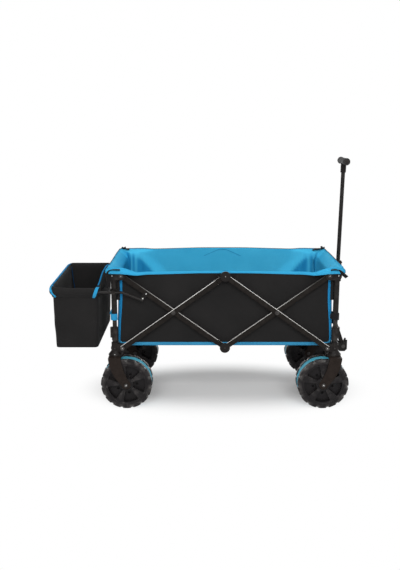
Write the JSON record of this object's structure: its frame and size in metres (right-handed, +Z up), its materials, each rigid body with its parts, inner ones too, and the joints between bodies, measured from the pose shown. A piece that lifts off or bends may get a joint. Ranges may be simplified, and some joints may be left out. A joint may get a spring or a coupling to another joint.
{
  "type": "folding wagon",
  "caption": "Folding fabric wagon on scissor sides with wide wheels, front casters, a telescopic pull handle and a rear bag.",
  "frame": {"origin": "on the ground, under the middle of the overall box", "axes": "+X forward to the pull handle, +Y to the wagon's left, +Z up"},
  "size_m": [1.1954, 0.51, 0.9671],
  "materials": {
    "black_fabric": "woven polyester, matt",
    "blue_fabric": "woven polyester, matt",
    "mat": "padded woven polyester",
    "webbing": "flat webbing",
    "frame_tube": "satin black paint",
    "inner_tube": "satin black paint",
    "steel": "zinc plated",
    "moulded_black": "moulded, fine grain",
    "grip_rubber": "soft matt",
    "wheel_black": "moulded, fine grain",
    "tread_blue": "soft matt"
  },
  "bodies": {
    "floor_bar": {"bottom_cross_tube": "frame_tube", "bottom_hub_caps": "moulded_black"},
    "rear_falling": {"rear_falling_bars": "frame_tube", "rear_falling_pins": "steel", "bag_hook_brackets": "frame_tube"},
    "front_falling": {"front_falling_bars": "frame_tube", "front_falling_pins": "steel"},
    "rear_rising": {"rear_rising_bars": "frame_tube", "rear_rising_pins": "steel"},
    "front_rising": {"front_rising_bars": "frame_tube", "front_rising_pins": "steel"},
    "tub": {"side_panels": "black_fabric", "end_panels": "blue_fabric", "tub_floor": "black_fabric", "floor_mat": "mat", "top_hub_caps": "moulded_black"},
    "rear_upper": {"rear_outer_posts": "frame_tube", "rear_top_brackets": "moulded_black", "rear_top_rail": "frame_tube", "rear_tub_ties": "webbing", "bag_hinge_brackets": "moulded_black"},
    "front_upper": {"front_outer_posts": "frame_tube", "front_top_brackets": "moulded_black", "front_top_rail": "frame_tube", "front_tub_ties": "webbing"},
    "rear_lower": {"rear_bottom_fittings": "moulded_black", "rear_lower_posts": "frame_tube", "rear_axle_beam": "frame_tube", "rear_right_fork": "moulded_black", "rear_left_fork": "moulded_black", "rear_axle_bolts": "steel"},
    "front_lower": {"front_bottom_fittings": "moulded_black", "front_lower_posts": "frame_tube", "front_axle_beam": "frame_tube", "handle_cradle": "frame_tube", "handle_pivot_pin": "steel"},
    "rear_mid": {"rear_mid_posts": "inner_tube"},
    "front_mid": {"front_mid_posts": "inner_tube"},
    "bag": {"bag_frame": "frame_tube", "bag_shell": "black_fabric", "bag_corner_loops": "webbing"},
    "handle_lower": {"handle_neck": "moulded_black", "handle_lower_tube": "frame_tube", "handle_collar": "moulded_black"},
    "handle_upper": {"handle_upper_tube": "frame_tube", "handle_tee": "moulded_black", "grip": "grip_rubber"},
    "lock_button": {"handle_lock_button": "moulded_black"},
    "front_right_caster": {"front_right_fork": "moulded_black", "front_right_caster_bolts": "steel"},
    "rear_right_wheel_body": {"rear_right_wheel": "wheel_black", "rear_right_tread_band": "tread_blue"},
    "front_right_wheel_body": {"front_right_wheel": "wheel_black", "front_right_tread_band": "tread_blue"},
    "front_left_caster": {"front_left_fork": "moulded_black", "front_left_caster_bolts": "steel"},
    "rear_left_wheel_body": {"rear_left_wheel": "wheel_black", "rear_left_tread_band": "tread_blue"},
    "front_left_wheel_body": {"front_left_wheel": "wheel_black", "front_left_tread_band": "tread_blue"}
  },
  "joints": [
    {"name": "fold", "type": "hinge", "parent": "floor_bar", "child": "rear_falling", "pos_m": [0.07867, 0, 0.242], "axis": [0, 1, 0], "range_deg": [0, 38.3], "deforming": ["side_panels", "end_panels", "tub_floor", "floor_mat"]},
    {"name": "front_falling_turn", "type": "hinge", "parent": "floor_bar", "child": "front_falling", "pos_m": [0.07867, 0, 0.242], "axis": [0, -1, 0], "range_deg": [0, 38.3]},
    {"name": "rear_crossing", "type": "hinge", "parent": "rear_falling", "child": "rear_rising", "pos_m": [-0.12133, 0, 0.3855], "axis": [0, -1, 0], "range_deg": [0, 76.6]},
    {"name": "front_crossing", "type": "hinge", "parent": "front_falling", "child": "front_rising", "pos_m": [0.27868, 0, 0.3855], "axis": [0, 1, 0], "range_deg": [0, 76.6]},
    {"name": "top_hub_turn", "type": "hinge", "parent": "rear_rising", "child": "tub", "pos_m": [0.07867, 0, 0.529], "axis": [0, 1, 0], "range_deg": [0, 38.3]},
    {"name": "rear_top_corner", "type": "hinge", "parent": "rear_falling", "child": "rear_upper", "pos_m": [-0.32133, 0, 0.529], "axis": [0, -1, 0], "range_deg": [0, 38.3]},
    {"name": "front_top_corner", "type": "hinge", "parent": "front_falling", "child": "front_upper", "pos_m": [0.47868, 0, 0.529], "axis": [0, 1, 0], "range_deg": [0, 38.3]},
    {"name": "rear_bottom_corner", "type": "hinge", "parent": "rear_rising", "child": "rear_lower", "pos_m": [-0.32133, 0, 0.242], "axis": [0, 1, 0], "range_deg": [0, 38.3]},
    {"name": "front_bottom_corner", "type": "hinge", "parent": "front_rising", "child": "front_lower", "pos_m": [0.47868, 0, 0.242], "axis": [0, -1, 0], "range_deg": [0, 38.3]},
    {"name": "rear_post_slide", "type": "slide", "parent": "rear_lower", "child": "rear_mid", "axis": [0, 0, 1], "range_m": [0, 0.036]},
    {"name": "front_post_slide", "type": "slide", "parent": "front_lower", "child": "front_mid", "axis": [0, 0, 1], "range_m": [0, 0.036]},
    {"name": "bag_tilt", "type": "hinge", "parent": "rear_upper", "child": "bag", "pos_m": [-0.35132, 0, 0.466], "axis": [0, 1, 0], "range_deg": [0, 49.02]},
    {"name": "handle_tilt", "type": "hinge", "parent": "front_lower", "child": "handle_lower", "pos_m": [0.58168, 0, 0.187], "axis": [0, 1, 0], "range_deg": [0, 75]},
    {"name": "handle_slide", "type": "slide", "parent": "handle_lower", "child": "handle_upper", "axis": [0.0157, 0, 0.9999], "range_m": [-0.2, 0]},
    {"name": "lock_button_press", "type": "slide", "parent": "handle_lower", "child": "lock_button", "axis": [-0.9999, 0, 0.0157], "range_m": [0, 0.002], "stiffness_N_per_m": 500, "springref_m": -0.001},
    {"name": "front_right_swivel", "type": "hinge", "parent": "front_lower", "child": "front_right_caster", "pos_m": [0.50867, -0.204, 0.21], "axis": [0, 0, 1], "continuous": true},
    {"name": "front_left_swivel", "type": "hinge", "parent": "front_lower", "child": "front_left_caster", "pos_m": [0.50867, 0.204, 0.21], "axis": [0, 0, 1], "continuous": true},
    {"name": "rear_right_wheel_spin", "type": "hinge", "parent": "rear_lower", "child": "rear_right_wheel_body", "pos_m": [-0.30733, -0.204, 0.1], "axis": [0, 1, 0], "continuous": true},
    {"name": "rear_left_wheel_spin", "type": "hinge", "parent": "rear_lower", "child": "rear_left_wheel_body", "pos_m": [-0.30733, 0.204, 0.1], "axis": [0, 1, 0], "continuous": true},
    {"name": "front_right_wheel_spin", "type": "hinge", "parent": "front_right_caster", "child": "front_right_wheel_body", "pos_m": [0.46468, -0.204, 0.1], "axis": [0, 1, 0], "continuous": true},
    {"name": "front_left_wheel_spin", "type": "hinge", "parent": "front_left_caster", "child": "front_left_wheel_body", "pos_m": [0.46468, 0.204, 0.1], "axis": [0, 1, 0], "continuous": true}
  ],
  "couplings": [
    {"joint": "front_falling_turn", "follows": "fold", "ratio": 1},
    {"joint": "rear_crossing", "follows": "fold", "ratio": 2},
    {"joint": "front_crossing", "follows": "fold", "ratio": 2},
    {"joint": "top_hub_turn", "follows": "fold", "ratio": 1},
    {"joint": "rear_top_corner", "follows": "fold", "ratio": 1},
    {"joint": "front_top_corner", "follows": "fold", "ratio": 1},
    {"joint": "rear_bottom_corner", "follows": "fold", "ratio": 1},
    {"joint": "front_bottom_corner", "follows": "fold", "ratio": 1},
    {"joint": "rear_post_slide", "follows": "fold", "m_per_rad": 0.053853},
    {"joint": "front_post_slide", "follows": "fold", "m_per_rad": 0.053853},
    {"joint": "bag_tilt", "follows": "fold", "ratio": 1.28}
  ]
}
